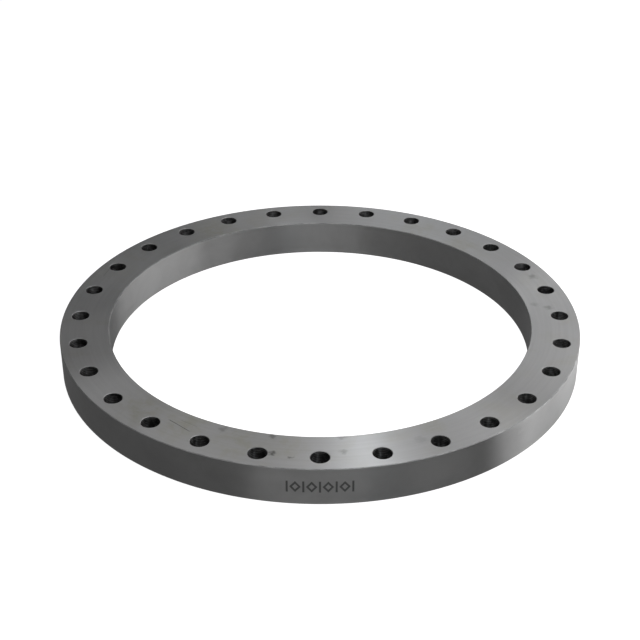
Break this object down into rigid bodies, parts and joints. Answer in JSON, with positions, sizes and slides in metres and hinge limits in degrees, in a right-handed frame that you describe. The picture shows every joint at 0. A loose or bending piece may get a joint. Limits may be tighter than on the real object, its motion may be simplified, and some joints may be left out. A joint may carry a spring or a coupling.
{
  "type": "plate flange",
  "caption": "Large flat steel ring flange with a plain bore for a welded pipe and a circle of bolt holes close to its rim.",
  "frame": {"origin": "on the bore's axis, in the plane of the face that the ring lies on", "axes": "+Z along the bore's axis, out of the upper face; a bolt hole is centred on each of +X, +Y, -X and -Y"},
  "size_m": [1.255, 1.255, 0.09],
  "materials": {
    "machined_steel": "turned, uncoated steel with light oil stains"
  },
  "bodies": {
    "root": {"flange_ring": "machined_steel"}
  },
  "joints": []
}
